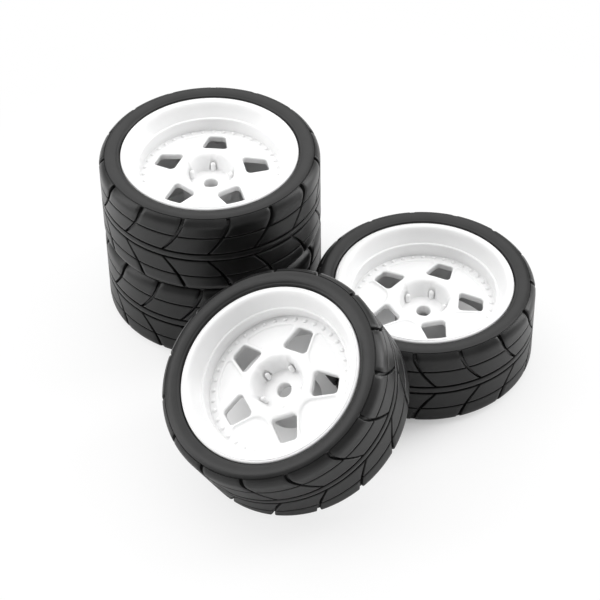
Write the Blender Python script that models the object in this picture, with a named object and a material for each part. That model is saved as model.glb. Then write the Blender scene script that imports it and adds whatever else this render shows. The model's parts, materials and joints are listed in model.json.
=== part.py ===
# Four loose wheels for a 1/10 RC drift car: two stacked, one lying beside them, and one leaning on it.
# Each wheel is a moulded rim, a treaded rubber tyre and the foam insert inside the tyre.
# Units are metres, +Z is up, and the floor is z = 0.
import math

import bmesh
import bpy
from mathutils import Matrix, Vector
from mathutils.bvhtree import BVHTree

MM = 0.001

# Tyre. Its height and bulge are counted from the rim that it sits on.
TYRE_HEIGHT = 6.5 * MM
TYRE_BULGE = 0.5 * MM
SHOULDER_RADIUS = 3.2 * MM
SHOULDER_DEGREES = (40, 70)
TREAD_THICKNESS = 2.0 * MM
SIDEWALL_THICKNESS = 1.5 * MM
TREAD_BLOCKS = 15
GROOVE_WIDTH = 1.0 * MM
GROOVE_DEPTH = 0.9 * MM
GROOVE_SWEEP = math.radians(11.7)
GROOVE_CURVE = 1.65
CENTRE_RIB_HALF = 1.2 * MM
BEAD_HEIGHT = 3.0 * MM
BEAD_WIDTH = 1.4 * MM
BEAD_SLOPE = 0.7 * MM

# Rim. Each step of its dish is counted inwards from the one outside it.
RIM_RADIUS = 26.0 * MM
RIM_WIDTH = 26.0 * MM
FLANGE_THICKNESS = 1.4 * MM
SEAT_DEPTH = 2.0 * MM
BARREL_WALL = 1.4 * MM
LIP_ROUNDING = 0.8 * MM
LIP_WIDTH = 2.5 * MM
LIP_INNER_DEPTH = 1.1 * MM
STEP_INSET = 2.1 * MM
STEP_DEPTH = 4.3 * MM
STEP_LEDGE = 0.3 * MM
DISC_INSET = 0.5 * MM
DISC_EDGE_DEPTH = 8.6 * MM
DISC_CENTRE_DEPTH = 6.2 * MM
DISC_THICKNESS = 2.2 * MM

# Hub
WELL_RADIUS = 7.0 * MM
WELL_DRAFT = 0.9 * MM
WELL_FLOOR_DEPTH = 11.8 * MM
HUB_WEB = 3.0 * MM
HEX_ACROSS_FLATS = 12.0 * MM
HEX_POCKET_DEPTH = 5.2 * MM
HEX_WALL = 1.3 * MM
AXLE_BORE_RADIUS = 2.1 * MM
LUG_COUNT = 5
LUG_RADIUS = 0.65 * MM
LUG_INSET = 1.0 * MM
LUG_HEIGHT = 2.6 * MM
LUG_TIP_RADIUS = 0.4 * MM
SCALLOP_MARGIN = 0.85 * MM
SCALLOP_STEP = 0.25 * MM
SCALLOP_WALL = 0.7 * MM

# Windows, one trapezoid beside each lug, between the well and the edge of the disc
WINDOW_WELL_MARGIN = 3.2 * MM
WINDOW_BOSS_MARGIN = 1.0 * MM
WINDOW_EDGE_MARGIN = 3.6 * MM
WINDOW_INNER_HALF = 3.9 * MM
WINDOW_OUTER_HALF = 2.4 * MM
WINDOW_CORNER = 0.8 * MM

# Fits between pieces that touch
FIT_GAP = 0.3 * MM
INSERT_END_GAP = 0.4 * MM
INSERT_BORE_GAP = 0.45 * MM

# Where the wheels stand. Bearings and headings are seen from above, counted from +X towards +Y.
SIDE_BEARING = math.radians(-24.5)
SIDE_GAP = 3.0 * MM
STACK_SHIFT = (0.0, -0.9 * MM)
LEAN_TILT = math.radians(28.7)
LEAN_HEADING = math.radians(-136.1)
LEAN_BEARING = math.radians(-132.4)

# How far each rim and tyre is turned about its own axis, and which way the tread points
STACK_BOTTOM_TURN = (math.radians(30.0), math.radians(0.8), -1)
STACK_TOP_TURN = (math.radians(12.2), math.radians(17.0), -1)
SIDE_TURN = (math.radians(65.0), math.radians(-2.1), 1)
LEANING_TURN = (math.radians(54.8), math.radians(7.1), 1)

RING_SEGMENTS = 2 * TREAD_BLOCKS
SCALLOP_SEGMENTS = 16
LUG_SEGMENTS = 8

TYRE_RADIUS = RIM_RADIUS + TYRE_HEIGHT
TYRE_WIDTH = RIM_WIDTH + 2 * TYRE_BULGE
BARREL_RADIUS = RIM_RADIUS - SEAT_DEPTH
LIP_INNER_RADIUS = RIM_RADIUS - LIP_WIDTH
STEP_RADIUS = LIP_INNER_RADIUS - STEP_INSET
DISC_RADIUS = STEP_RADIUS - DISC_INSET
WELL_FLOOR_RADIUS = WELL_RADIUS - WELL_DRAFT
WELL_FLOOR_Z = RIM_WIDTH / 2 - WELL_FLOOR_DEPTH
LUG_PITCH_RADIUS = WELL_RADIUS - LUG_INSET
LUG_TIP_Z = WELL_FLOOR_Z + LUG_HEIGHT
SCALLOP_RADIUS = LUG_RADIUS + SCALLOP_MARGIN
HEX_CORNER_RADIUS = HEX_ACROSS_FLATS / 2 / math.cos(math.pi / 6)
BOSS_RADIUS = max(HEX_CORNER_RADIUS + HEX_WALL, LUG_PITCH_RADIUS + SCALLOP_RADIUS + SCALLOP_WALL)
HEX_SEAT_Z = WELL_FLOOR_Z - HUB_WEB
BOSS_END_Z = HEX_SEAT_Z - HEX_POCKET_DEPTH
WINDOW_INNER_RADIUS = max(WELL_RADIUS + WINDOW_WELL_MARGIN, BOSS_RADIUS + WINDOW_BOSS_MARGIN)
WINDOW_OUTER_RADIUS = DISC_RADIUS - WINDOW_EDGE_MARGIN


def clear_scene():
    for found in list(bpy.data.objects):
        bpy.data.objects.remove(found, do_unlink=True)


def make_material(name, colour, roughness):
    made = bpy.data.materials.new(name)
    made.use_nodes = True
    shader = made.node_tree.nodes["Principled BSDF"]
    shader.inputs["Base Color"].default_value = (*colour, 1.0)
    shader.inputs["Roughness"].default_value = roughness
    shader.inputs["Metallic"].default_value = 0.0
    return made


def mesh_from_bmesh(bm, name):
    bmesh.ops.recalc_face_normals(bm, faces=bm.faces[:])
    made = bpy.data.meshes.new(name)
    bm.to_mesh(made)
    bm.free()
    return made


def ring(bm, radius, height, angles):
    return [bm.verts.new((radius * math.cos(a), radius * math.sin(a), height)) for a in angles]


def join_rings(bm, first, second):
    # Two rings of equal count make a band of quads. A ring of twice the count meets every other point.
    if len(first) < len(second):
        first, second = second, first
    count = len(second)
    step = len(first) // count
    for i in range(count):
        after = (i + 1) % count
        if step == 1:
            bm.faces.new((first[i], first[after], second[after], second[i]))
        else:
            middle = first[2 * i + 1]
            bm.faces.new((first[2 * i], middle, second[i]))
            bm.faces.new((middle, first[(2 * i + 2) % len(first)], second[after], second[i]))


def join_loop(bm, rings):
    for i, current in enumerate(rings):
        join_rings(bm, current, rings[(i + 1) % len(rings)])


def even_angles(count):
    return [2 * math.pi * i / count for i in range(count)]


def turned_mesh(name, outline, segments):
    # The outline is a closed loop of (radius, height) points.
    bm = bmesh.new()
    join_loop(bm, [ring(bm, radius, height, even_angles(segments)) for radius, height in outline])
    return mesh_from_bmesh(bm, name)


def arc(centre_radius, centre_height, radius, degrees):
    points = []
    for angle in degrees:
        turn = math.radians(angle)
        points.append((centre_radius + radius * math.cos(turn), centre_height + radius * math.sin(turn)))
    return points


def groove_turn(height, top):
    # A groove leaves the shoulder almost straight and bends round to meet the centre rib.
    reach = (top - abs(height)) / (top - CENTRE_RIB_HALF)
    return GROOVE_SWEEP * max(reach, 0.0) ** GROOVE_CURVE


def tread_ring(bm, radius, height, depth, top, hand):
    # Each block has four points: the floor of its groove, the groove's edge, the middle, the next edge.
    pitch = 2 * math.pi / TREAD_BLOCKS
    half = GROOVE_WIDTH / 2 / TYRE_RADIUS
    turn = hand * groove_turn(height, top)
    points = []
    for block in range(TREAD_BLOCKS):
        start = block * pitch + turn
        points += ring(bm, radius - depth, height, [start])
        points += ring(bm, radius, height, [start + half, start + pitch / 2, start + pitch - half])
    return points


def tyre_mesh(name, hand):
    half = TYRE_WIDTH / 2
    shoulder = half - SHOULDER_RADIUS
    corner = arc(TYRE_RADIUS - SHOULDER_RADIUS, shoulder, SHOULDER_RADIUS, SHOULDER_DEGREES)
    top = corner[1][1]
    tread = [(TYRE_RADIUS, CENTRE_RIB_HALF, 0.0), (TYRE_RADIUS, shoulder / 2, GROOVE_DEPTH)]
    tread.append((TYRE_RADIUS, shoulder, GROOVE_DEPTH))
    tread.append((*corner[0], GROOVE_DEPTH))
    tread.append((*corner[1], 0.0))

    rim_face = RIM_WIDTH / 2 - FLANGE_THICKNESS - FIT_GAP
    mouth = RIM_RADIUS + FIT_GAP
    toe = BARREL_RADIUS + FIT_GAP
    inside = TYRE_RADIUS - TREAD_THICKNESS
    inner_side = half - SIDEWALL_THICKNESS
    side = [(TYRE_RADIUS - SHOULDER_RADIUS, half), (mouth, half), (mouth, rim_face), (toe, rim_face)]
    side += [(toe, rim_face - BEAD_WIDTH), (toe + BEAD_HEIGHT, rim_face - BEAD_WIDTH)]
    side += [(toe + BEAD_HEIGHT + BEAD_SLOPE, inner_side)]
    side += [(inside, inner_side - SHOULDER_RADIUS / 3)]

    bm = bmesh.new()
    angles = even_angles(RING_SEGMENTS)
    rings = []
    for radius, height, depth in tread:
        rings.append(tread_ring(bm, radius, height, depth, top, hand))
    rings += [ring(bm, radius, height, angles) for radius, height in side]
    rings += [ring(bm, radius, -height, angles) for radius, height in reversed(side)]
    for radius, height, depth in reversed(tread):
        rings.append(tread_ring(bm, radius, -height, depth, top, hand))
    join_loop(bm, rings)
    return mesh_from_bmesh(bm, name)


def insert_mesh(name):
    inner = BARREL_RADIUS + INSERT_BORE_GAP
    outer = TYRE_RADIUS - TREAD_THICKNESS - FIT_GAP
    half = RIM_WIDTH / 2 - FLANGE_THICKNESS - FIT_GAP - BEAD_WIDTH - INSERT_END_GAP
    return turned_mesh(name, [(outer, -half), (outer, half), (inner, half), (inner, -half)], RING_SEGMENTS)


def rim_outline():
    lip = RIM_WIDTH / 2
    crest = RIM_RADIUS - LIP_ROUNDING
    flange = lip - FLANGE_THICKNESS
    hollow = BARREL_RADIUS - BARREL_WALL
    outside = [(crest, lip), (RIM_RADIUS, lip - LIP_ROUNDING)]
    outside += [(RIM_RADIUS, flange), (BARREL_RADIUS, flange)]
    back_lip = [(hollow + LIP_ROUNDING, -lip), (hollow, -lip + LIP_ROUNDING)]
    disc_back = [(hollow, lip - DISC_EDGE_DEPTH - DISC_THICKNESS)]
    disc_back += [(BOSS_RADIUS, lip - DISC_CENTRE_DEPTH - DISC_THICKNESS), (BOSS_RADIUS, BOSS_END_Z)]
    bore = [(AXLE_BORE_RADIUS, BOSS_END_Z), (AXLE_BORE_RADIUS, WELL_FLOOR_Z)]
    well = [(WELL_FLOOR_RADIUS, WELL_FLOOR_Z), (WELL_RADIUS, lip - DISC_CENTRE_DEPTH)]
    dish = [(DISC_RADIUS, lip - DISC_EDGE_DEPTH), (STEP_RADIUS - STEP_LEDGE, lip - STEP_DEPTH)]
    dish += [(STEP_RADIUS, lip - STEP_DEPTH + STEP_LEDGE), (LIP_INNER_RADIUS, lip - LIP_INNER_DEPTH)]
    mirrored = [(radius, -height) for radius, height in reversed(outside)]
    return outside + mirrored + back_lip + disc_back + bore + well + dish


def prism(bm, outline, low, high):
    # The outline is a loop of (x, y) points, counter-clockwise.
    lower = [bm.verts.new((x, y, low)) for x, y in outline]
    upper = [bm.verts.new((x, y, high)) for x, y in outline]
    bm.faces.new(list(reversed(lower)))
    bm.faces.new(upper)
    for i, start in enumerate(lower):
        after = (i + 1) % len(lower)
        bm.faces.new((start, lower[after], upper[after], upper[i]))


def circle_outline(centre, radius, segments, turn=0.0):
    return [(centre[0] + radius * math.cos(a + turn), centre[1] + radius * math.sin(a + turn))
            for a in even_angles(segments)]


def rounded_outline(corners, radius):
    # Each corner of a convex loop becomes three points on its fillet.
    points = []
    for i, corner in enumerate(corners):
        here = Vector(corner)
        before = (Vector(corners[i - 1]) - here).normalized()
        after = (Vector(corners[(i + 1) % len(corners)]) - here).normalized()
        half_angle = before.angle(after) / 2
        reach = radius / math.tan(half_angle)
        centre = here + (before + after).normalized() * radius / math.sin(half_angle)
        middle = centre + (here - centre).normalized() * radius
        points += [tuple(here + before * reach), tuple(middle), tuple(here + after * reach)]
    return points


def window_outline(angle):
    corners = [(WINDOW_INNER_RADIUS, -WINDOW_INNER_HALF), (WINDOW_OUTER_RADIUS, -WINDOW_OUTER_HALF)]
    corners += [(WINDOW_OUTER_RADIUS, WINDOW_OUTER_HALF), (WINDOW_INNER_RADIUS, WINDOW_INNER_HALF)]
    turn = Matrix.Rotation(angle, 2)
    return [tuple(turn @ Vector(point)) for point in rounded_outline(corners, WINDOW_CORNER)]


def lug_centre(angle):
    return (LUG_PITCH_RADIUS * math.cos(angle), LUG_PITCH_RADIUS * math.sin(angle))


def add_lug(bm, angle):
    # A round post with a domed tip, which reaches a little into the floor that it grows from.
    x, y = lug_centre(angle)
    levels = [(LUG_RADIUS, WELL_FLOOR_Z - SCALLOP_STEP), (LUG_RADIUS, LUG_TIP_Z - LUG_RADIUS / 2)]
    levels += [(LUG_TIP_RADIUS, LUG_TIP_Z)]
    rings = []
    for radius, height in levels:
        rings.append([bm.verts.new((px, py, height))
                      for px, py in circle_outline((x, y), radius, LUG_SEGMENTS)])
    bm.faces.new(list(reversed(rings[0])))
    bm.faces.new(rings[-1])
    for lower, upper in zip(rings, rings[1:]):
        join_rings(bm, lower, upper)


def object_from_mesh(name, mesh):
    made = bpy.data.objects.new(name, mesh)
    bpy.context.scene.collection.objects.link(made)
    return made


def rim_cutter():
    bm = bmesh.new()
    lip = RIM_WIDTH / 2
    for angle in even_angles(LUG_COUNT):
        prism(bm, window_outline(angle), lip - DISC_EDGE_DEPTH - 2 * DISC_THICKNESS, lip)
        prism(bm, circle_outline(lug_centre(angle), SCALLOP_RADIUS, SCALLOP_SEGMENTS),
              WELL_FLOOR_Z + SCALLOP_STEP, lip)
    hexagon = circle_outline((0.0, 0.0), HEX_CORNER_RADIUS, 6, math.pi / 6)
    prism(bm, hexagon, BOSS_END_Z - HEX_POCKET_DEPTH, HEX_SEAT_Z)
    return object_from_mesh("rim_cutter", mesh_from_bmesh(bm, "rim_cutter"))


def lug_posts():
    bm = bmesh.new()
    for angle in even_angles(LUG_COUNT):
        add_lug(bm, angle)
    return object_from_mesh("lug_posts", mesh_from_bmesh(bm, "lug_posts"))


def rim_mesh(name):
    # The rim is turned, cut by its windows, scallops and hex pocket, and joined to its lug posts.
    blank = object_from_mesh("rim_blank", turned_mesh("rim_blank", rim_outline(), RING_SEGMENTS))
    helpers = [("DIFFERENCE", rim_cutter()), ("UNION", lug_posts())]
    for operation, helper in helpers:
        helper.hide_render = True
        helper.display_type = "WIRE"
        step = blank.modifiers.new(operation, "BOOLEAN")
        step.operation = operation
        step.solver = "EXACT"
        step.object = helper
    graph = bpy.context.evaluated_depsgraph_get()
    made = bpy.data.meshes.new_from_object(blank.evaluated_get(graph), depsgraph=graph)
    made.name = name
    for used in [blank] + [helper for _, helper in helpers]:
        bpy.data.objects.remove(used, do_unlink=True)
    return made


def placed_tyre(mesh, place, turn):
    points = [place + turn @ vert.co for vert in mesh.vertices]
    return points, BVHTree.FromPolygons(points, [list(face.vertices) for face in mesh.polygons])


def gap_between(first, second):
    # The smallest distance from a corner of either solid to the other one, or nothing if they cross.
    if first[1].overlap(second[1]):
        return 0.0
    gaps = [second[1].find_nearest(point)[3] for point in first[0]]
    gaps += [first[1].find_nearest(point)[3] for point in second[0]]
    return min(gaps)


def lean_axis():
    level = math.sin(LEAN_TILT)
    return Vector((level * math.cos(LEAN_HEADING), level * math.sin(LEAN_HEADING), math.cos(LEAN_TILT)))


def lean_turn():
    upward = lean_axis()
    across = Vector((0.0, 1.0, 0.0)).cross(upward).normalized()
    forward = upward.cross(across)
    return Matrix((across, forward, upward)).transposed()


def leaning_place(side_place, tyres):
    # The leaning wheel stands on its lower edge and moves in until its tyre meets the side wheel's.
    across = (TYRE_RADIUS - SHOULDER_RADIUS) * math.sin(LEAN_TILT)
    along = (TYRE_WIDTH / 2 - SHOULDER_RADIUS) * math.cos(LEAN_TILT)
    start = Vector((side_place.x, side_place.y, across + along + SHOULDER_RADIUS))
    bearing = Vector((math.cos(LEAN_BEARING), math.sin(LEAN_BEARING), 0.0))
    resting = placed_tyre(tyres[SIDE_TURN[2]], side_place, Matrix.Rotation(SIDE_TURN[1], 3, "Z"))
    turn = lean_turn() @ Matrix.Rotation(LEANING_TURN[1], 3, "Z")
    near = TYRE_RADIUS
    far = 3 * TYRE_RADIUS
    for _ in range(24):
        middle = (near + far) / 2
        leaning = placed_tyre(tyres[LEANING_TURN[2]], start + bearing * middle, turn)
        if gap_between(leaning, resting) < FIT_GAP:
            near = middle
        else:
            far = middle
    return start + bearing * far


def wheel_places(tyres):
    half = TYRE_WIDTH / 2
    bottom = Vector((0.0, 0.0, half))
    top = Vector((STACK_SHIFT[0], STACK_SHIFT[1], half + TYRE_WIDTH + FIT_GAP))
    reach = 2 * TYRE_RADIUS + SIDE_GAP
    side = Vector((reach * math.cos(SIDE_BEARING), reach * math.sin(SIDE_BEARING), half))
    flat = Matrix.Identity(3)
    places = [("stack_bottom", bottom, flat, STACK_BOTTOM_TURN), ("stack_top", top, flat, STACK_TOP_TURN)]
    places.append(("side", side, flat, SIDE_TURN))
    places.append(("leaning", leaning_place(side, tyres), lean_turn(), LEANING_TURN))
    return places


def add_piece(name, mesh, hub, turn, colour, roughness):
    made = object_from_mesh(name, mesh.copy())
    made.parent = hub
    made.rotation_euler = (0.0, 0.0, turn)
    made.data.materials.clear()
    made.data.materials.append(make_material(name, colour, roughness))
    made.data.shade_smooth()
    made.data.set_sharp_from_angle(angle=math.radians(30))
    return made


def add_wheel(name, place, turn, turns, rim, tyres, insert):
    rim_angle, tread_angle, hand = turns
    hub = bpy.data.objects.new(name + "_hub", None)
    bpy.context.scene.collection.objects.link(hub)
    hub.matrix_world = Matrix.Translation(place) @ turn.to_4x4()
    add_piece(name + "_rim", rim, hub, rim_angle, (0.82, 0.82, 0.82), 0.35)
    add_piece(name + "_tyre", tyres[hand], hub, tread_angle, (0.018, 0.018, 0.018), 0.6)
    add_piece(name + "_insert", insert, hub, 0.0, (0.05, 0.05, 0.055), 0.95)
    return hub


def centre_on_floor(hubs):
    # The frame's origin is on the floor, below the middle of the whole set.
    bpy.context.view_layer.update()
    corners = []
    for found in bpy.data.objects:
        if found.type == "MESH":
            corners += [found.matrix_world @ vert.co for vert in found.data.vertices]
    middle_x = (min(c.x for c in corners) + max(c.x for c in corners)) / 2
    middle_y = (min(c.y for c in corners) + max(c.y for c in corners)) / 2
    for hub in hubs:
        hub.location -= Vector((middle_x, middle_y, 0.0))
    bpy.context.view_layer.update()


def build():
    clear_scene()
    rim = rim_mesh("rim")
    tyres = {1: tyre_mesh("tyre_left", 1), -1: tyre_mesh("tyre_right", -1)}
    insert = insert_mesh("insert")
    hubs = []
    for name, place, turn, turns in wheel_places(tyres):
        hubs.append(add_wheel(name, place, turn, turns, rim, tyres, insert))
    centre_on_floor(hubs)
    for hub in hubs:
        print(hub.name, [round(value / MM, 3) for value in hub.matrix_world.translation])


build()
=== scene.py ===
# The looks of four wheels for a model drift car: white moulded rims in black rubber tyres
import json
import math
import bpy
import numpy as np
from mathutils import Matrix, Vector
from mathutils.geometry import delaunay_2d_cdt


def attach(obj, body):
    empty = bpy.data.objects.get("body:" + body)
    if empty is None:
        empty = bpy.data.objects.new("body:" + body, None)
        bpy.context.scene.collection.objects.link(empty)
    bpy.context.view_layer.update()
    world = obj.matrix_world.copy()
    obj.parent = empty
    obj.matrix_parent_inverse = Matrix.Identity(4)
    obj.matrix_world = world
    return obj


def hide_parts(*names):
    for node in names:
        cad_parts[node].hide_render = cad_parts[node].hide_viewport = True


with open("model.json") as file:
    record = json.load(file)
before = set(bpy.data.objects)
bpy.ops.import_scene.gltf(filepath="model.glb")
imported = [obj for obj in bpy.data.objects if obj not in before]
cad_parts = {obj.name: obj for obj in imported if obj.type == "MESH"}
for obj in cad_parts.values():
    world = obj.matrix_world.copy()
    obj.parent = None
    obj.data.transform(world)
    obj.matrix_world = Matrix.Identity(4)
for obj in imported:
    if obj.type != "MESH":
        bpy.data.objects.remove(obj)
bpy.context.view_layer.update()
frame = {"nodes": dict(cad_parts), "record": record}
mm = 0.001
print("frame loaded:", len(frame["nodes"]), "nodes")


# Nodes and values for the materials
class Val:
    # one socket, so that shader maths reads as ordinary expressions
    def __init__(self, make, socket):
        self.make = make
        self.socket = socket

    def __add__(self, other):
        return self.make.math("ADD", self, other)

    __radd__ = __add__

    def __sub__(self, other):
        return self.make.math("SUBTRACT", self, other)

    def __rsub__(self, other):
        return self.make.math("SUBTRACT", other, self)

    def __mul__(self, other):
        return self.make.math("MULTIPLY", self, other)

    __rmul__ = __mul__

    def __pow__(self, other):
        return self.make.math("POWER", self, other)

    def __rpow__(self, other):
        return self.make.math("POWER", other, self)

    def over(self, low, high):  # 0 to 1 between the two values, softly
        return self.make.node("ShaderNodeMapRange", {"interpolation_type": "SMOOTHSTEP"},
                              {"Value": self, "From Min": low, "From Max": high})


class Maker:
    # builds the nodes of one material or world; node() takes the type, its settings and its socket values
    def __init__(self, owner, shader="Principled BSDF"):
        owner.use_nodes = True
        self.owner = owner
        self.tree = owner.node_tree
        self.shader = self.tree.nodes[shader]

    def node(self, kind, settings=None, values=None, out=0):
        made = self.tree.nodes.new(kind)
        for name, value in (settings or {}).items():
            setattr(made, name, value)
        for name, value in (values or {}).items():
            self.put(made.inputs[name], value)
        return Val(self, made.outputs[out])

    def put(self, socket, value):
        if isinstance(value, Val):
            self.tree.links.new(value.socket, socket)
        else:
            socket.default_value = value

    def math(self, operation, *values):
        return self.node("ShaderNodeMath", {"operation": operation}, dict(enumerate(values)))

    def mix(self, amount, first, second):
        return self.node("ShaderNodeMix", {"data_type": "RGBA"}, {0: amount, 6: first, 7: second}, out=2)

    def noise(self, scale, detail, place):
        return self.node("ShaderNodeTexNoise", {},
                         {"Scale": scale, "Detail": detail, "Roughness": 0.55, "Vector": place})

    def place(self):  # the object's own coordinates, in metres
        return self.node("ShaderNodeTexCoord", out="Object")

    def split(self, vector):
        parts = self.node("ShaderNodeSeparateXYZ", {}, {0: vector})
        return [Val(self, socket) for socket in parts.socket.node.outputs]

    def bump(self, height, strength, distance):
        return self.node("ShaderNodeBump", {}, {"Height": height, "Strength": strength, "Distance": distance})

    def finish(self, **inputs):
        for name, value in inputs.items():
            self.put(self.shader.inputs[name.replace("_", " ")], value)
        return self.owner


def grey(level):
    return (level, level, level, 1.0)


rimFinish = {
    "white": 0.9, "shade": 0.875, "cloudPerMetre": 70.0,  # the faint clouding of a moulded white
    "roughness": 0.36, "grainPerMetre": 900.0, "grainStrength": 0.12, "grainDepth": 0.04,
    "gloss": 0.15, "glossRoughness": 0.2,
}


def rimPlastic():
    make = Maker(bpy.data.materials.new("rim_plastic"))
    place = make.place()
    cloud = make.noise(rimFinish["cloudPerMetre"], 3.0, place)
    grain = make.noise(rimFinish["grainPerMetre"], 4.0, place)
    colour = make.mix(cloud.over(0.35, 0.7), grey(rimFinish["white"]), grey(rimFinish["shade"]))
    rough = cloud * 0.10 + grain * 0.06 + (rimFinish["roughness"] - 0.08)
    normal = make.bump(grain, rimFinish["grainStrength"], rimFinish["grainDepth"] * mm)
    return make.finish(Base_Color=colour, Roughness=rough, Normal=normal,
                       Coat_Weight=rimFinish["gloss"], Coat_Roughness=rimFinish["glossRoughness"])


tyreFinish = {
    "black": 0.008, "worn": 0.014, "cloudPerMetre": 160.0, "sheen": 0.36,
    "roughness": 0.36, "grainPerMetre": 2600.0, "grainStrength": 0.25, "grainDepth": 0.05,
}


def tyreRubber():
    make = Maker(bpy.data.materials.new("tyre_rubber"))
    place = make.place()
    cloud = make.noise(tyreFinish["cloudPerMetre"], 4.0, place)
    grain = make.noise(tyreFinish["grainPerMetre"], 5.0, place)
    colour = make.mix(cloud.over(0.3, 0.75), grey(tyreFinish["black"]), grey(tyreFinish["worn"]))
    rough = cloud * 0.12 + grain * 0.10 + (tyreFinish["roughness"] - 0.10)
    normal = make.bump(grain, tyreFinish["grainStrength"], tyreFinish["grainDepth"] * mm)
    return make.finish(Base_Color=colour, Roughness=rough, Normal=normal,
                       Specular_IOR_Level=tyreFinish["sheen"])


foamFinish = {"cell": 0.018, "wall": 0.06, "cellsPerMetre": 900.0, "roughness": 0.95, "cellDepth": 0.3}


def insertFoam():
    make = Maker(bpy.data.materials.new("insert_foam"))
    cells = make.node("ShaderNodeTexVoronoi", {},
                      {"Vector": make.place(), "Scale": foamFinish["cellsPerMetre"]})
    colour = make.mix(cells.over(0.1, 0.6), grey(foamFinish["cell"]), grey(foamFinish["wall"]))
    return make.finish(Base_Color=colour, Roughness=foamFinish["roughness"],
                       Normal=make.bump(cells, 0.8, foamFinish["cellDepth"] * mm))


# Meshes, in millimetres until meshObject
def meshObject(name, shape, place, material, sharp):
    # the shape is in millimetres, in the wheel's own frame with +Z out of the wheel's face
    mesh = bpy.data.meshes.new(name)
    mesh.from_pydata([tuple(p) for p in np.asarray(shape.points) * mm], [], shape.faces)
    mesh.validate()
    mesh.transform(place)
    mesh.shade_smooth()
    mesh.set_sharp_from_angle(angle=math.radians(sharp))
    mesh.materials.append(material)
    made = bpy.data.objects.new(name, mesh)
    bpy.context.scene.collection.objects.link(made)
    return made


class Shape:
    # collects points and faces of one piece
    def __init__(self):
        self.points = []
        self.faces = []

    def add(self, points):
        start = len(self.points)
        self.points += [tuple(float(v) for v in p) for p in points]
        return list(range(start, len(self.points)))

    def band(self, lower, upper, closed=True):
        # quads between two rows of equal count, facing outwards when the upper row lies above
        count = len(lower)
        for i in range(count if closed else count - 1):
            j = (i + 1) % count
            self.faces.append((lower[i], lower[j], upper[j], upper[i]))

    def turned(self, outline, angles):
        # an open outline of (radius, height) points turned about the axis, facing its right-hand side
        rows = [self.add([polar(r, a, z) for a in angles]) for r, z in outline]
        for lower, upper in zip(rows, rows[1:]):
            self.band(lower, upper)
        return rows


def evenAngles(count, start=0.0):
    return [start + 2 * math.pi * i / count for i in range(count)]


def polar(radius, angle, *height):
    return (radius * math.cos(angle), radius * math.sin(angle), *height)


def circleLoop(radius, count):
    return [Vector(polar(radius, a)) for a in evenAngles(count)]


def arcPoints(centre, radius, start, end, count):
    turns = [math.radians(start + (end - start) * i / count) for i in range(count + 1)]
    return [(centre[0] + radius * math.cos(a), centre[1] + radius * math.sin(a)) for a in turns]


tyre = {
    "radius": 32.3, "width": 26.98, "shoulder": 3.2, "blocks": 15,
    "grooveHalf": 0.4, "grooveFloorHalf": 0.27, "grooveDepth": 1.15, "shoulderFlare": 1.6,
    "sweep": 11.7, "curve": 1.65,
    "centreLine": 1.2, "centreHalf": 0.34, "centreDepth": 1.0,
    "sipeLine": 7.2, "sipeHalf": 0.23, "sipeDepth": 0.7,
    "edgeBevel": 0.15, "lineRadius": 30.6, "lineHalf": 0.14, "lineDepth": 0.2,
    "mouth": 26.32, "mouthRounding": 0.5, "sidewallFall": 0.3,
    "insideRows": ((26.32, 11.4), (24.35, 11.3), (24.35, 9.9), (27.3, 9.9), (28.0, 12.0), (30.4, 10.9)),
    "innerRows": (2.1, 2.8, 3.5, 4.3, 5.1, 5.9, 6.5), "outerRows": (8.1, 8.9, 9.6),  # heights on the tread
    "shoulderTurns": (0, 9, 18, 27, 35, 42, 48), "lastTurns": (66, 74, 82, 90),  # degrees round the shoulder
    "sidewallRows": (0.6, 1.1, 1.6, 2.0), "blockColumns": 12,
}


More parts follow.
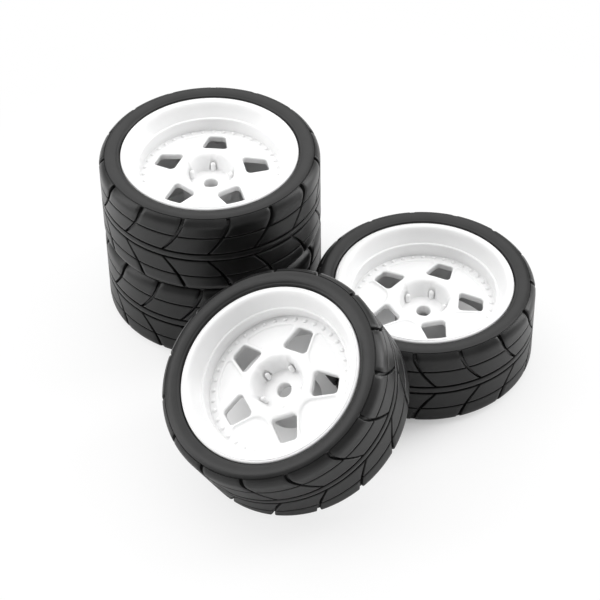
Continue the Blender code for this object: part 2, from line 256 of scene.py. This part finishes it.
def tyreRows():
    # Rows of one half from the centre rib to the bead: radius, height, groove depth of the row itself,
    # how far a cross groove reaches into it, and the outward direction of the surface.
    rows = []
    half = tyre["width"] / 2
    shoulder = tyre["shoulder"]
    bend = half - shoulder
    bevel = tyre["edgeBevel"]

    def flat(height, depth=0.0, cross=1.0):
        rows.append((tyre["radius"], height, depth, cross, (1.0, 0.0)))

    def lineAcross(middle, halfWidth, depth, innerCross):
        floor = halfWidth * 0.55
        flat(middle - halfWidth - bevel, 0.0, innerCross)
        flat(middle - halfWidth, bevel * 0.7, innerCross)
        flat(middle - floor, depth, 1.0)
        flat(middle + floor, depth, 1.0)
        flat(middle + halfWidth, bevel * 0.7, 1.0)
        flat(middle + halfWidth + bevel, 0.0, 1.0)

    flat(0.0, 0.0, 0.0)
    lineAcross(tyre["centreLine"], tyre["centreHalf"], tyre["centreDepth"], 0.0)
    for height in tyre["innerRows"]:
        flat(height)
    lineAcross(tyre["sipeLine"], tyre["sipeHalf"], tyre["sipeDepth"], 1.0)
    for height in tyre["outerRows"]:
        flat(height)
    lineAngle = math.degrees(math.acos((tyre["lineRadius"] - tyre["radius"] + shoulder) / shoulder))
    for degrees in tyre["shoulderTurns"]:
        rows.append(shoulderRow(degrees, bend, 0.0, 1.0))
    spread = math.degrees(tyre["lineHalf"] / shoulder)
    rows.append(shoulderRow(lineAngle - spread * 1.7, bend, 0.0, 1.0))
    rows.append(shoulderRow(lineAngle - spread, bend, tyre["lineDepth"], 0.35))
    rows.append(shoulderRow(lineAngle, bend, tyre["lineDepth"], 0.0))
    rows.append(shoulderRow(lineAngle + spread, bend, 0.0, 0.0))
    for degrees in tyre["lastTurns"]:
        if degrees > lineAngle + spread + 2:
            rows.append(shoulderRow(degrees, bend, 0.0, 0.0))
    for inwards in tyre["sidewallRows"]:  # the sidewall falls away gently towards the rim
        fall = tyre["sidewallFall"] * (inwards / tyre["sidewallRows"][-1]) ** 2
        rows.append((tyre["radius"] - shoulder - inwards, half - fall, 0.0, 0.0, (0.0, 1.0)))
    edge = tyre["mouthRounding"]
    top = half - tyre["sidewallFall"] * 1.45
    mouth = arcPoints((tyre["mouth"] + edge, top - edge), edge, 80, 180, 6)
    for radius, height in mouth + list(tyre["insideRows"]):
        rows.append((radius, height, 0.0, 0.0, (0.0, 1.0)))
    return rows


def shoulderRow(degrees, bend, depth, cross):
    turn = math.radians(degrees)
    shoulder = tyre["shoulder"]
    radius = tyre["radius"] - shoulder + shoulder * math.cos(turn)
    return (radius, bend + shoulder * math.sin(turn), depth, cross, (math.cos(turn), math.sin(turn)))


def tyreColumns():
    # Columns of one block: distance along the tread from the groove's middle, and the share of its depth
    bevel = tyre["edgeBevel"]
    edges = [(0.0, 1.0), (tyre["grooveFloorHalf"], 1.0), (tyre["grooveHalf"], bevel * 0.8),
             (tyre["grooveHalf"] + bevel, 0.0)]
    pitch = 2 * math.pi * tyre["radius"] / tyre["blocks"]
    start = edges[-1][0] * tyre["shoulderFlare"]
    count = tyre["blockColumns"]
    plain = [(start + (pitch - 2 * start) * i / count, 0.0) for i in range(1, count)]
    return edges, plain, pitch


def tyreShape(hand):
    edges, plain, pitch = tyreColumns()
    half = tyreRows()
    rows = [(r, -z, d, c, (n[0], -n[1])) for r, z, d, c, n in reversed(half[1:])] + half
    top = tyre["width"] / 2 - 0.5
    shape = Shape()
    made = []
    for radius, height, depth, cross, (outR, outZ) in rows:
        reach = min(max((top - abs(height)) / (top - tyre["centreLine"]), 0.0), 1.0)
        inside = radius < tyre["lineRadius"] - 0.2
        lead = 0.0 if inside else hand * math.radians(tyre["sweep"]) * reach ** tyre["curve"]
        flare = 1.0 + (tyre["shoulderFlare"] - 1.0) * (1.0 - reach) ** 1.5
        points = []
        for block in range(tyre["blocks"]):
            base = 2 * math.pi * block / tyre["blocks"] + lead
            line = [(along * flare, share) for along, share in edges] + plain
            line += [(pitch - along * flare, share) for along, share in reversed(edges[1:])]
            for along, share in line:
                cut = max(depth, share * cross * tyre["grooveDepth"])
                angle = base + along / tyre["radius"]
                points.append(polar(radius - cut * outR, angle, height - cut * outZ))
        made.append(shape.add(points))
    for lower, upper in zip(made, made[1:]):
        shape.band(lower, upper)
    shape.band(made[-1], made[0])
    return shape


rim = {
    "radius": 26.0, "half": 13.0, "flange": 1.4, "seat": 24.0, "hollow": 22.6,
    "lipInner": 23.5, "lipInnerDepth": 1.1, "step": 21.4, "stepDepth": 4.3,
    "disc": 20.9, "discDepth": 8.6, "thickness": 2.2,
    "well": 6.9, "wellDepth": 6.2, "wellFloor": 6.1, "wellFloorDepth": 11.8, "wellEdge": 2.4,
    "lugCircle": 6.0, "lugRadius": 0.74, "lugTipDepth": 9.0, "scallop": 1.2, "lugs": 5,
    "bore": 2.1, "web": 3.0, "hexFlats": 12.0, "hexDepth": 5.2, "hexWall": 1.3,
    "windowInner": 10.2, "windowOuter": 17.3, "windowInnerHalf": 3.9, "windowOuterHalf": 2.4,
    "windowCorner": 1.15, "windowEdge": 0.5,
    "panelOuter": 18.1, "panelFrame": 0.9, "panelApex": 4.2, "panelCorner": 1.0, "panelDepth": 0.36,
    "rivets": 40, "rivetCircle": 19.65, "rivetRadius": 0.7, "rivetHeight": 0.55,
    "meshSize": 0.62, "backMeshSize": 1.1, "loopSpacing": 0.7, "turns": 200,
    # out from the lip's inner edge, and down from its crest
    "lipProfile": ((0.4, 0.52), (0.75, 0.24), (1.15, 0.07), (1.55, 0.0)),
    # in from the rim's outside, and down from the crest, with the fine line where the tyre meets it
    "edgeProfile": ((0.85, 0.01), (0.75, 0.2), (0.55, 0.2), (0.45, 0.06), (0.25, 0.12), (0.06, 0.32),
                    (0.0, 0.6)),
}


def discLevel(r):
    # The disc rises a little from its edge to the hub
    share = (r - rim["well"]) / (rim["disc"] - rim["well"])
    return rim["half"] - rim["wellDepth"] - share * (rim["discDepth"] - rim["wellDepth"])


def filletLoop(corners, radii, steps):
    # Closed outline of a convex polygon, counter-clockwise, whose corners are rounded
    out = []
    count = len(corners)
    for i in range(count):
        here = Vector(corners[i])
        before = (Vector(corners[i - 1]) - here).normalized()
        after = (Vector(corners[(i + 1) % count]) - here).normalized()
        halfAngle = before.angle(after) / 2
        centre = here + (before + after).normalized() * radii[i] / math.sin(halfAngle)
        first = here + before * radii[i] / math.tan(halfAngle) - centre
        turn = math.pi - 2 * halfAngle
        for k in range(steps + 1):
            out.append(centre + Matrix.Rotation(turn * k / steps, 2) @ first)
    return out


def evenLoop(points, spacing):
    # Adds points along the long straight parts, so that no gap is wider than the spacing
    out = []
    for i, point in enumerate(points):
        after = points[(i + 1) % len(points)]
        parts = max(1, int(math.ceil((after - point).length / spacing)))
        out += [point + (after - point) * k / parts for k in range(parts)]
    return out


def offsetLoop(points, distance):
    # Moves each point of a counter-clockwise loop outwards
    out = []
    for i, point in enumerate(points):
        along = (points[(i + 1) % len(points)] - points[i - 1]).normalized()
        out.append(point + Vector((along.y, -along.x)) * distance)
    return out


def turnLoop(points, angle):
    turn = Matrix.Rotation(angle, 2)
    return [turn @ p for p in points]


def windowLoop():
    corners = [(rim["windowInner"], -rim["windowInnerHalf"]), (rim["windowOuter"], -rim["windowOuterHalf"]),
               (rim["windowOuter"], rim["windowOuterHalf"]), (rim["windowInner"], rim["windowInnerHalf"])]
    return evenLoop(filletLoop(corners, [rim["windowCorner"]] * 4, 6), rim["loopSpacing"])


def panelLoop():
    # The shallow panel between two windows: two sides along the windows' frames, and an arc outside
    inner = Vector((rim["windowInner"], rim["windowInnerHalf"]))
    outer = Vector((rim["windowOuter"], rim["windowOuterHalf"]))
    along = (outer - inner).normalized()
    start = inner + Vector((-along.y, along.x)) * rim["panelFrame"]
    back = Matrix.Rotation(-math.pi / rim["lugs"], 2)
    start = back @ start
    along = back @ along
    apex = start - along * (start.y / along.y)
    reach = rim["panelOuter"]
    # where the side meets the outer arc
    dot = apex.dot(along)
    length = -dot + math.sqrt(dot * dot - apex.length_squared + reach * reach)
    corner = apex + along * length
    half = abs(math.atan2(corner.y, corner.x))
    arc = [Vector(polar(reach, a)) for a in np.linspace(-half, half, 9)]
    corners = [apex] + arc
    radii = [rim["panelApex"], rim["panelCorner"]] + [0.05] * 7 + [rim["panelCorner"]]
    return evenLoop(filletLoop(corners, radii, 5), rim["loopSpacing"])


def lobeRadius(angle):
    # Outer side of the round pocket that each lug stands in, seen from the hub's axis
    pitch = 2 * math.pi / rim["lugs"]
    turn = (angle + pitch / 2) % pitch - pitch / 2
    inside = rim["scallop"] ** 2 - (rim["lugCircle"] * math.sin(turn)) ** 2
    if inside <= 0 or abs(turn) > math.pi / 2:
        return 0.0
    return rim["lugCircle"] * math.cos(turn) + math.sqrt(inside)


def wellAngles():
    # Closely spaced beside the lugs, where the wall turns in and out
    out = []
    pitch = 2 * math.pi / rim["lugs"]
    near = math.asin(rim["scallop"] / rim["lugCircle"]) * 1.08
    for lug in range(rim["lugs"]):
        out += list(np.linspace(lug * pitch - near, lug * pitch + near, 31)[:-1])
        out += list(np.linspace(lug * pitch + near, (lug + 1) * pitch - near, 13)[:-1])
    return out


def wellRadius(angle, share):
    plain = rim["wellFloor"] + (rim["well"] - rim["wellFloor"]) * share
    return max(plain, lobeRadius(angle))


def loopDistance(points, loop):
    # Distance of each point to a closed loop, negative inside it
    a = np.array([tuple(p) for p in loop])
    b = np.roll(a, -1, axis=0)
    along = b - a
    rel = points[:, None, :] - a[None, :, :]
    share = np.clip((rel * along).sum(2) / np.maximum((along ** 2).sum(1), 1e-12), 0, 1)
    gap = np.linalg.norm(rel - share[..., None] * along, axis=2).min(1)
    side = (a[:, 1] > points[:, None, 1]) != (b[:, 1] > points[:, None, 1])
    rise = np.where(np.abs(along[:, 1]) < 1e-12, 1e-12, along[:, 1])
    cross = (points[:, None, 1] - a[:, 1]) / rise * along[:, 0] + a[:, 0]
    inside = ((points[:, None, 0] < cross) & side).sum(1) % 2 == 1
    return np.where(inside, -gap, gap)


def roundDrop(distance, radius):
    # How far a rounded edge lies below the surface, at a distance in from it
    near = np.clip(radius - distance, 0, radius)
    return radius - np.sqrt(np.maximum(radius ** 2 - near ** 2, 0))


def smooth(value):
    t = np.clip(value, 0, 1)
    return t * t * (3 - 2 * t)


def discFace(loops, holes, spacing, inner, outer):
    # Flat triangles between an inner and an outer loop, without the holes, with all loops kept as edges
    points = []
    edges = []
    for loop in loops:
        start = len(points)
        points += [Vector((p[0], p[1])) for p in loop]
        edges += [(start + i, start + (i + 1) % len(loop)) for i in range(len(loop))]
    fixed = np.array([tuple(p) for p in points])
    grid = []
    for k, radius in enumerate(np.arange(inner + spacing, outer, spacing)):
        count = int(2 * math.pi * radius / spacing)
        grid += [polar(radius, a) for a in evenAngles(count, k * 0.5 / count)]
    grid = np.array(grid)
    gap = np.full(len(grid), 1e9)
    for start in range(0, len(fixed), 200):
        part = fixed[start:start + 200]
        gap = np.minimum(gap, np.linalg.norm(grid[:, None, :] - part[None], axis=2).min(1))
    points += [Vector(p) for p in grid[gap > spacing * 0.55]]
    flat, _, faces, _, _, _ = delaunay_2d_cdt(points, edges, [], 0, 1e-6)
    flat = np.array([tuple(p) for p in flat])
    middles = np.array([flat[list(f)].mean(0) for f in faces])
    keep = (loopDistance(middles, loops[0]) > 0) & (loopDistance(middles, loops[-1]) < 0)
    for hole in holes:
        keep &= loopDistance(middles, hole) > 0
    return flat, [tuple(f) for f, k in zip(faces, keep) if k]


def faceUp(shape, flat, faces, heights, up):
    ids = shape.add([(p[0], p[1], h) for p, h in zip(flat, heights)])
    for face in faces:
        a, b, c = (flat[i] for i in face[:3])
        turn = (b[0] - a[0]) * (c[1] - a[1]) - (b[1] - a[1]) * (c[0] - a[0])
        order = face if (turn > 0) == up else tuple(reversed(face))
        shape.faces.append(tuple(ids[i] for i in order))


def wellLoop(distance):
    points = [Vector(polar(wellRadius(a, 1.0), a)) for a in wellAngles()]
    return offsetLoop(points, distance) if distance else points


def rimFront(shape):
    # The disc with its five windows, the shallow panels between them and the edge of the hub well
    pitch = 2 * math.pi / rim["lugs"]
    window = windowLoop()
    panel = panelLoop()
    edge = rim["windowEdge"]
    windows = [turnLoop(window, pitch * k) for k in range(rim["lugs"])]
    panels = [turnLoop(panel, pitch * (k + 0.5)) for k in range(rim["lugs"])]
    loops = [wellLoop(rim["wellEdge"] * share) for share in (0.0, 0.12, 0.35, 0.65, 1.0)]
    for loop in windows:
        loops += [loop, offsetLoop(loop, edge * 0.15), offsetLoop(loop, edge * 0.5), offsetLoop(loop, edge)]
    for loop in panels:
        loops += [offsetLoop(loop, d) for d in (-0.25, -0.08, 0.08, 0.25)]
    loops.append(circleLoop(rim["disc"] - 0.5, rim["turns"]))
    loops.append(circleLoop(rim["disc"], rim["turns"]))
    flat, faces = discFace(loops, windows, rim["meshSize"], rim["well"], rim["disc"])
    radius = np.linalg.norm(flat, axis=1)
    heights = discLevel(radius)
    for loop in panels:
        heights -= rim["panelDepth"] * (1 - smooth((loopDistance(flat, loop) + 0.25) / 0.5))
    for loop in windows:
        heights -= roundDrop(np.maximum(loopDistance(flat, loop), 0), edge)
    heights -= roundDrop(np.maximum(loopDistance(flat, wellLoop(0.0)), 0), rim["wellEdge"])
    faceUp(shape, flat, faces, heights, True)
    return windows


def rimBack(shape, windows):
    # The back of the disc, round the hub's boss
    boss = bossRadius()
    edge = rim["windowEdge"] * 0.6
    loops = [circleLoop(boss, 96)]
    for loop in windows:
        loops += [loop, offsetLoop(loop, edge * 0.4), offsetLoop(loop, edge)]
    loops.append(circleLoop(rim["hollow"], rim["turns"]))
    flat, faces = discFace(loops, windows, rim["backMeshSize"], boss, rim["hollow"])
    heights = discLevel(np.linalg.norm(flat, axis=1)) - rim["thickness"]
    for loop in windows:
        heights += roundDrop(np.maximum(loopDistance(flat, loop), 0), edge)
    faceUp(shape, flat, faces, heights, False)
    for loop in windows:
        upper = shape.add([(p.x, p.y, discLevel(p.length) - rim["windowEdge"]) for p in loop])
        lower = shape.add([(p.x, p.y, discLevel(p.length) - rim["thickness"] + edge) for p in loop])
        shape.band(upper, lower)


def bossRadius():
    return rim["hexFlats"] / 2 / math.cos(math.pi / 6) + rim["hexWall"]


def rimWell(shape):
    # The conical wall of the hub well with a round pocket beside each lug, its floor and the axle bore
    angles = wellAngles()
    top = rim["half"] - rim["wellDepth"] - rim["wellEdge"]
    floor = rim["half"] - rim["wellFloorDepth"]
    rows = []
    for share in (0.0, 0.06, 0.2, 0.4, 0.6, 0.8, 1.0):
        height = floor + (top - floor) * share
        rows.append(shape.add([polar(wellRadius(a, share), a, height) for a in angles]))
    for lower, upper in zip(rows, rows[1:]):
        shape.band(upper, lower)
    inner = rim["bore"] + 0.25
    for share in (0.5, 0.0):
        ring = [polar(inner + (wellRadius(a, 0.0) - inner) * share, a, floor) for a in angles]
        rows.insert(0, shape.add(ring))
        shape.band(rows[1], rows[0])
    seat = floor - rim["web"]
    bore = shape.turned([(rim["bore"], floor - 0.25), (rim["bore"], seat)], angles)
    shape.band(rows[0], bore[0])
    return seat


def rimBoss(shape, seat):
    # The boss behind the hub, with the hexagonal pocket that drives the wheel
    end = seat - rim["hexDepth"]
    boss = bossRadius()
    level = discLevel(boss) - rim["thickness"]
    angles = evenAngles(96)
    outside = [(boss, level), (boss, end + 0.3), (boss - 0.3, end)]
    rows = shape.turned(outside, angles)
    across = rim["hexFlats"] / 2

    def hexRadius(angle, flats):
        turn = (angle + math.pi / 6) % (math.pi / 3) - math.pi / 6
        return flats / math.cos(turn)

    def hexRow(flats, height):
        return shape.add([polar(hexRadius(a, flats), a, height) for a in angles])

    mouth = hexRow(across + 0.2, end)
    shape.band(rows[-1], mouth)
    wall = hexRow(across, end + 0.2)
    shape.band(mouth, wall)
    bottom = hexRow(across, seat)
    shape.band(wall, bottom)
    hole = shape.add([polar(rim["bore"], a, seat) for a in angles])
    shape.band(bottom, hole)


def rimBarrel(shape):
    # Dish, lip, flange and the barrel that the tyre sits on, from the front of the disc to its back
    lip = rim["half"]
    hollow = rim["hollow"]
    stepLow = lip - rim["stepDepth"]
    front = [(rim["disc"], lip - rim["discDepth"]), (rim["disc"] + 0.05, lip - rim["discDepth"] + 0.15)]
    front += [(rim["step"] - 0.42, stepLow - 0.45)]
    front += arcPoints((rim["step"], stepLow - 0.4), 0.42, 180, 70, 7)[1:]
    front += [(rim["step"] + 0.28, stepLow - 0.06), (rim["step"] + 0.42, stepLow + 0.06)]
    front += [(rim["lipInner"] - 0.25, lip - rim["lipInnerDepth"] - 0.38)]
    front += [(rim["lipInner"] + 0.02, lip - rim["lipInnerDepth"] + 0.02)]
    front += [(rim["lipInner"] + out, lip - down) for out, down in rim["lipProfile"]]
    front += [(rim["radius"] - back, lip - down) for back, down in rim["edgeProfile"]]
    flange = lip - rim["flange"]
    outer = [(rim["radius"], flange), (rim["seat"], flange), (rim["seat"], -flange), (rim["radius"], -flange)]
    back = [(rim["radius"], -lip + 0.75), (rim["radius"] - 0.25, -lip + 0.25), (rim["radius"] - 0.75, -lip)]
    back += [(hollow + 0.9, -lip), (hollow + 0.3, -lip + 0.2), (hollow, -lip + 0.7)]
    back += [(hollow, -4.0), (hollow, discLevel(hollow) - rim["thickness"])]
    shape.turned(list(reversed(front + outer + back)), evenAngles(rim["turns"]))


def addDome(shape, x, y, base, radius, height, rings, sides, wall=0.0):
    # A round post with a domed end
    levels = [(radius, base)]
    if wall:
        levels.append((radius * 0.97, base + wall))
    for k in range(1, rings):
        turn = math.pi / 2 * k / rings
        levels.append((radius * 0.97 * math.cos(turn), base + wall + height * math.sin(turn)))
    rows = [shape.add([(x + r * math.cos(a), y + r * math.sin(a), z) for a in evenAngles(sides)])
            for r, z in levels]
    for lower, upper in zip(rows, rows[1:]):
        shape.band(lower, upper)
    tip = shape.add([(x, y, base + wall + height)])[0]
    top = rows[-1]
    for i in range(sides):
        shape.faces.append((top[i], top[(i + 1) % sides], tip))


def rimShape():
    shape = Shape()
    windows = rimFront(shape)
    rimBack(shape, windows)
    seat = rimWell(shape)
    rimBoss(shape, seat)
    rimBarrel(shape)
    floor = rim["half"] - rim["wellFloorDepth"]
    tall = rim["wellFloorDepth"] - rim["lugTipDepth"] - rim["lugRadius"]
    for angle in evenAngles(rim["lugs"]):
        x, y = polar(rim["lugCircle"], angle)
        addDome(shape, x, y, floor, rim["lugRadius"], rim["lugRadius"], 5, 20, tall)
    ring = rim["rivetCircle"]
    for angle in evenAngles(rim["rivets"], math.pi / rim["rivets"]):
        x, y = polar(ring, angle)
        addDome(shape, x, y, discLevel(ring) - 0.05, rim["rivetRadius"], rim["rivetHeight"], 4, 12)
    return shape


wheels = {  # how far each rim and tread is turned, in degrees, and which way the tread points
    "stack_bottom": {"rim": 30.0, "tread": 0.8, "hand": -1},
    "stack_top": {"rim": 12.2, "tread": 17.0, "hand": -1},
    "side": {"rim": 65.0, "tread": -2.1, "hand": 1},
    "leaning": {"rim": 54.8, "tread": 7.1, "hand": 1},
}


def wheelPlace(name):
    # A wheel's middle is its insert's middle, and only the leaning wheel's axis isn't upright
    mesh = frame["nodes"][name + "_insert"].data
    low = Vector([min(v.co[i] for v in mesh.vertices) for i in range(3)])
    high = Vector([max(v.co[i] for v in mesh.vertices) for i in range(3)])
    axis = Vector((0.0, 0.0, 1.0))
    if name == "leaning":
        joints = {j["name"]: j for j in frame["record"]["behaviour"]["joints"]}
        axis = Vector(joints["leaning_lift"]["axis"]).normalized()
    across = Vector((0.0, 1.0, 0.0)).cross(axis).normalized()
    turn = Matrix((across, axis.cross(across), axis)).transposed()
    return Matrix.Translation((low + high) / 2) @ turn.to_4x4()


plastic = rimPlastic()
rubber = tyreRubber()
foam = insertFoam()
rimParts = rimShape()
print("rim shaped:", len(rimParts.faces), "faces")
tyreParts = {hand: tyreShape(hand) for hand in (1, -1)}
print("tyres shaped:", len(tyreParts[1].faces), "faces each")

for name, plan in wheels.items():
    place = wheelPlace(name)
    turn = Matrix.Rotation(math.radians(plan["rim"]), 4, "Z")
    rimPiece = meshObject(name + "_rim_moulding", rimParts, place @ turn, plastic, 38)
    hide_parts(name + "_rim")
    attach(rimPiece, name)
    turn = Matrix.Rotation(math.radians(plan["tread"]), 4, "Z")
    tyrePiece = meshObject(name + "_tyre_rubber", tyreParts[plan["hand"]], place @ turn, rubber, 40)
    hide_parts(name + "_tyre")
    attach(tyrePiece, name)
    insert = frame["nodes"][name + "_insert"]
    insert.data.materials.clear()
    insert.data.materials.append(foam)
print("wheels placed:", len(wheels))


# Floor, light and camera
stage = {
    "floorGrey": 0.9, "worldLight": 0.44,
    "shadeMiddle": (0.008, 0.012),  # the floor is whitened the further it lies from here
    "whiteUnder": 0.15, "underRadius": 0.03, "whiteNear": 0.76, "nearRadius": 0.058, "farRadius": 0.17,
    "floorHalf": 3.0, "floorGap": 0.0002,
}


def floorPiece():
    make = Maker(bpy.data.materials.new("floor_paper"))
    x, y, z = make.split(make.place())
    aside = x - stage["shadeMiddle"][0]
    along = y - stage["shadeMiddle"][1]
    away = (aside * aside + along * along) ** 0.5
    fade = away.over(stage["underRadius"], stage["nearRadius"]) * (stage["whiteNear"] - stage["whiteUnder"])
    fade = fade + away.over(stage["nearRadius"], stage["farRadius"]) * (1.0 - stage["whiteNear"])
    fade = fade + stage["whiteUnder"]
    seen = make.node("ShaderNodeLightPath", out="Is Camera Ray")
    glow = make.node("ShaderNodeEmission", {}, {"Color": grey(1.0), "Strength": 1.0})
    make.finish(Base_Color=grey(stage["floorGrey"]), Roughness=0.9)
    paper = Val(make, make.shader.outputs[0])
    both = make.node("ShaderNodeMixShader", {}, {0: fade * seen, 1: paper, 2: glow})
    make.put(make.tree.nodes["Material Output"].inputs[0], both)
    size = stage["floorHalf"]
    mesh = bpy.data.meshes.new("floor")
    corners = [(-size, -size, 0.0), (size, -size, 0.0), (size, size, 0.0), (-size, size, 0.0)]
    mesh.from_pydata(corners, [], [(0, 1, 2, 3)])
    mesh.materials.append(make.owner)
    piece = bpy.data.objects.new("floor", mesh)
    piece.location = (0.0, 0.0, -stage["floorGap"])
    bpy.context.scene.collection.objects.link(piece)


floorPiece()


def softLight(name, place, target, width, height, power):
    data = bpy.data.lights.new(name, "AREA")
    data.shape = "RECTANGLE"
    data.size = width
    data.size_y = height
    data.energy = power
    made = bpy.data.objects.new(name, data)
    made.location = place
    made.rotation_euler = (Vector(target) - Vector(place)).to_track_quat("-Z", "Y").to_euler()
    bpy.context.scene.collection.objects.link(made)


middle = (0.0, 0.0, 0.02)
lights = {  # place, width, height and power
    "top_light": ((-0.15, 0.4, 0.9), 1.6, 1.6, 11.3),
    "left_light": ((-0.75, 0.0, 0.35), 0.3, 0.9, 2.8),
    "right_light": ((0.75, 0.26, 0.4), 0.3, 0.9, 4.2),
}
for name, (place, width, height, power) in lights.items():
    softLight(name, place, middle, width, height, power)

world = bpy.data.worlds.new("studio")
bpy.context.scene.world = world
make = Maker(world, "Background")
seen = make.math("MAXIMUM", make.node("ShaderNodeLightPath", out="Is Camera Ray"),
                 make.node("ShaderNodeLightPath", out="Is Transmission Ray"))
make.finish(Color=grey(1.0), Strength=seen * (1.0 - stage["worldLight"]) + stage["worldLight"])

view = {  # metres, degrees and millimetres
    "aside": -0.00527, "back": 0.47075, "height": 0.45994, "down": 42.55, "roll": -0.913, "lens": 133.66,
}
cameraData = bpy.data.cameras.new("camera")
cameraData.lens = view["lens"]
cameraData.sensor_width = 36.0
cameraData.clip_start = 0.01
camera = bpy.data.objects.new("camera", cameraData)
bpy.context.scene.collection.objects.link(camera)
tilt = Matrix.Rotation(math.radians(90.0 - view["down"]), 4, "X")
roll = Matrix.Rotation(math.radians(view["roll"]), 4, "Z")
camera.matrix_world = Matrix.Translation((view["aside"], -view["back"], view["height"])) @ tilt @ roll
bpy.context.scene.camera = camera
bpy.context.scene.view_settings.view_transform = "Standard"
print("stage, lights and camera set")
